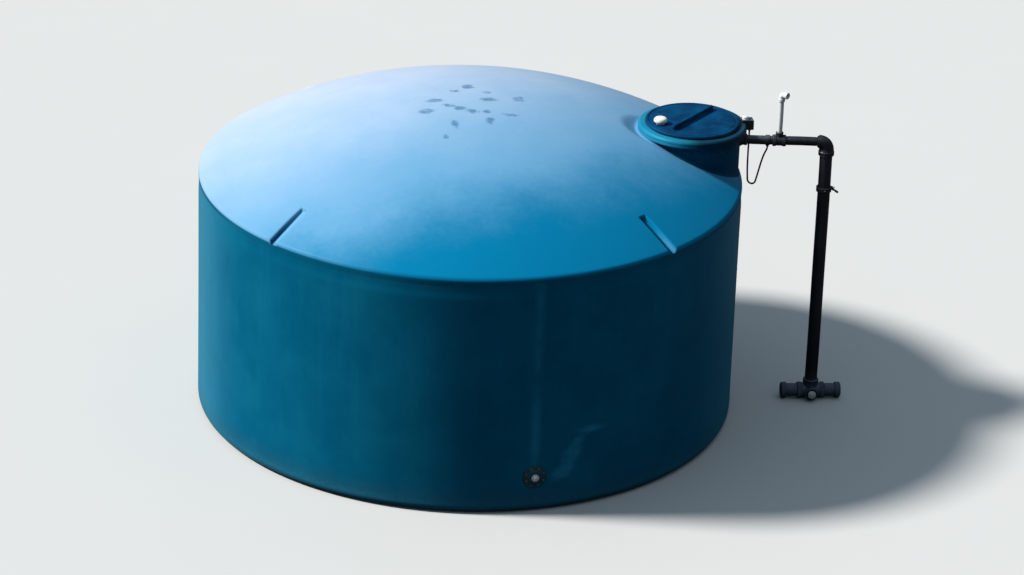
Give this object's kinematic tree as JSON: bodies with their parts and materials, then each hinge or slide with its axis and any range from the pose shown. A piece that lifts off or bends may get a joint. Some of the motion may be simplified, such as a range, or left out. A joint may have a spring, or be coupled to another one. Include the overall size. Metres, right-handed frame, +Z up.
{
  "type": "low round moulded water storage tank with a fill line",
  "caption": "Low round plastic water tank with a shallow domed roof, a raised manway with a screw lid, and a black fill line with a white vent pipe.",
  "frame": {"origin": "on the tank's vertical axis, at the underside of its floor, where it rests on the ground", "axes": "+Z up, +X from the tank's axis to the manway and on to the fill line, -Y towards the side with the drain"},
  "size_m": [4.3363, 3.5913, 2.2099],
  "materials": {
    "tank_shell": "weathered satin moulded plastic, deep teal",
    "manway_ring": "satin moulded plastic, lighter teal",
    "lid": "weathered dark blue moulded plastic",
    "black_pipe": "weathered black pipe, slightly glossy",
    "white_pipe": "sun-worn white pipe",
    "seal_rubber": "matt black rubber",
    "lead_jacket": "matt black cable jacket"
  },
  "bodies": {
    "tank": {"tank_floor": "tank_shell", "wall_segment_1": "tank_shell", "wall_segment_2": "tank_shell", "wall_segment_3": "tank_shell", "wall_segment_4": "tank_shell", "wall_segment_5": "tank_shell", "wall_segment_6": "tank_shell", "wall_segment_7": "tank_shell", "wall_segment_8": "tank_shell", "roof_dome": "tank_shell", "manway_neck": "tank_shell", "manway_ring": "manway_ring", "inlet_fitting": "black_pipe", "inlet_lock_nut": "black_pipe", "crossover_pipe_inner": "black_pipe", "crossover_pipe_outer": "black_pipe", "vent_tee": "black_pipe", "vent_pipe": "white_pipe", "vent_pipe_elbow": "white_pipe", "riser_elbow": "black_pipe", "riser_pipe": "black_pipe", "riser_drain_cock": "black_pipe", "riser_foot_fitting": "black_pipe", "foot_front_plug": "white_pipe", "foot_stub_right": "black_pipe", "foot_end_cap_right": "black_pipe", "foot_stub_left": "black_pipe", "foot_end_cap_left": "black_pipe", "lead_clamp": "black_pipe", "lead_box": "black_pipe", "lead_box_cap": "white_pipe", "lead_gland": "black_pipe", "level_lead": "lead_jacket", "drain_fitting": "black_pipe", "drain_lock_nut": "black_pipe", "drain_plug": "white_pipe"},
    "seal": {"lid_seal": "seal_rubber"},
    "lid": {"manway_lid": "lid", "lid_skirt": "lid", "lid_grip_bar": "lid", "lid_vent_cap": "white_pipe"}
  },
  "joints": [
    {"name": "lid_lift", "type": "slide", "parent": "tank", "child": "seal", "axis": [0, 0, 1], "range_m": [0, 0.4]},
    {"name": "lid_turn", "type": "hinge", "parent": "seal", "child": "lid", "pos_m": [1.452, 0, 1.98], "axis": [0, 0, 1], "range_deg": [0, 270]}
  ]
}
